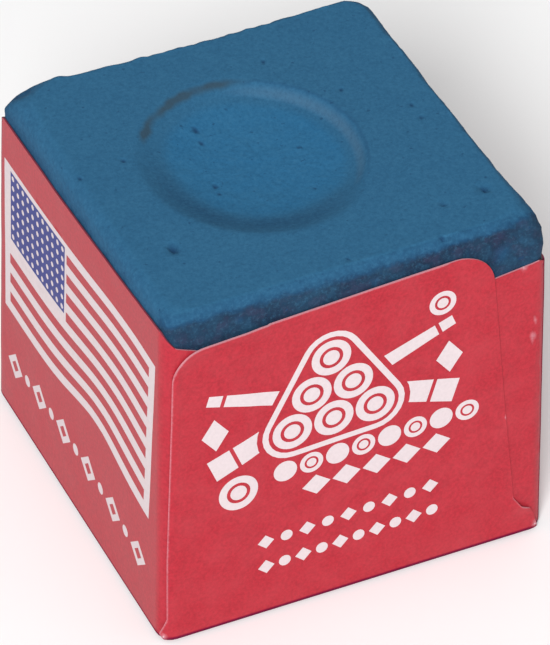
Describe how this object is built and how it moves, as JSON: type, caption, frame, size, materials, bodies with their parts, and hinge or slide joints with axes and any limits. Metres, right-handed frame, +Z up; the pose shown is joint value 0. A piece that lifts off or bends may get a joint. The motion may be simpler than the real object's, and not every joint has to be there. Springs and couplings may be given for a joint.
{
  "type": "cue chalk cube",
  "caption": "Pressed chalk block with a shallow round dish in its top, in a folded paper label with wrapped tabs and flaps.",
  "frame": {"origin": "on the table under the middle of the block", "axes": "+Z up through the dished top, +X to the right of the front flap, -Y out of the front flap, and the higher label wing on the -X side"},
  "size_m": [0.0222, 0.0224, 0.0214],
  "materials": {
    "chalk": "dry, powdery and matt, with fine pits",
    "label_paper": "smooth printed paper with a slight sheen, bare white at the cut edges and in the printed marks",
    "paste": "thin dried paste"
  },
  "bodies": {
    "root": {"chalk_block": "chalk", "paste_film": "paste", "label_base_panel": "label_paper", "label_left_wing": "label_paper", "label_left_front_tab": "label_paper", "label_left_rear_tab": "label_paper", "label_right_wing": "label_paper", "label_right_front_tab": "label_paper", "label_right_rear_tab": "label_paper", "label_front_flap": "label_paper", "label_rear_flap": "label_paper"}
  },
  "joints": []
}
